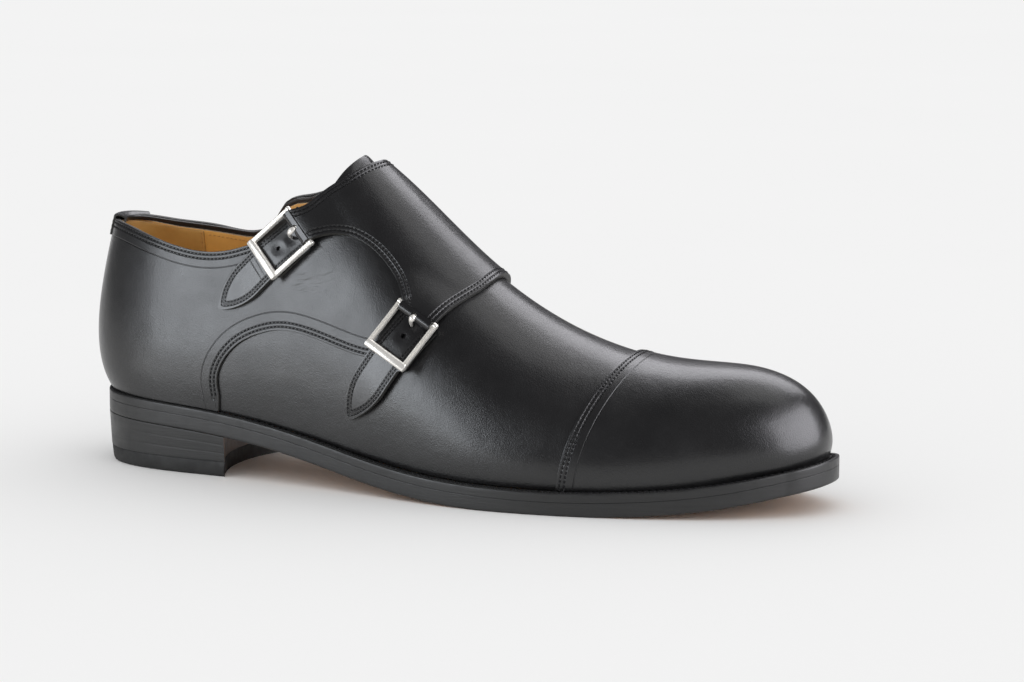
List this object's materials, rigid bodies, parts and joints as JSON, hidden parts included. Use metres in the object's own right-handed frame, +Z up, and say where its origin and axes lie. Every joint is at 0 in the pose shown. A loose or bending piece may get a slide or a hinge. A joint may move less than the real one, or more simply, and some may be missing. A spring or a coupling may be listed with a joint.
{
  "type": "double monk strap shoe",
  "caption": "Right-foot double monk strap shoe in polished black calf with toe cap, strap panel, metal buckles, welt, leather outsole and stacked heel.",
  "frame": {"origin": "on the floor, under the middle of the shoe's outline", "axes": "+X to the toe, +Y to the inner (medial) side, +Z up"},
  "size_m": [0.3036, 0.0948, 0.1232],
  "materials": {
    "calf": "polished black calf, fine grain",
    "lining": "smooth tan lining leather",
    "sole_edge": "blacked and waxed sole edge",
    "outsole_leather": "smooth tan sole leather",
    "heel_lifts": "blacked stacked leather lifts",
    "rubber": "matte",
    "nickel": "polished nickel plate",
    "thread": "waxed black thread"
  },
  "bodies": {
    "root": {"upper": "calf", "toe_cap": "calf", "tongue": "calf", "strap_panel": "calf", "insole": "lining", "welt": "sole_edge", "outsole": "sole_edge", "heel_stack": "heel_lifts", "top_piece": "rubber", "upper_billet": "calf", "upper_buckle": "nickel", "upper_prong": "nickel", "lower_billet": "calf", "lower_buckle": "nickel", "lower_prong": "nickel"}
  },
  "joints": []
}
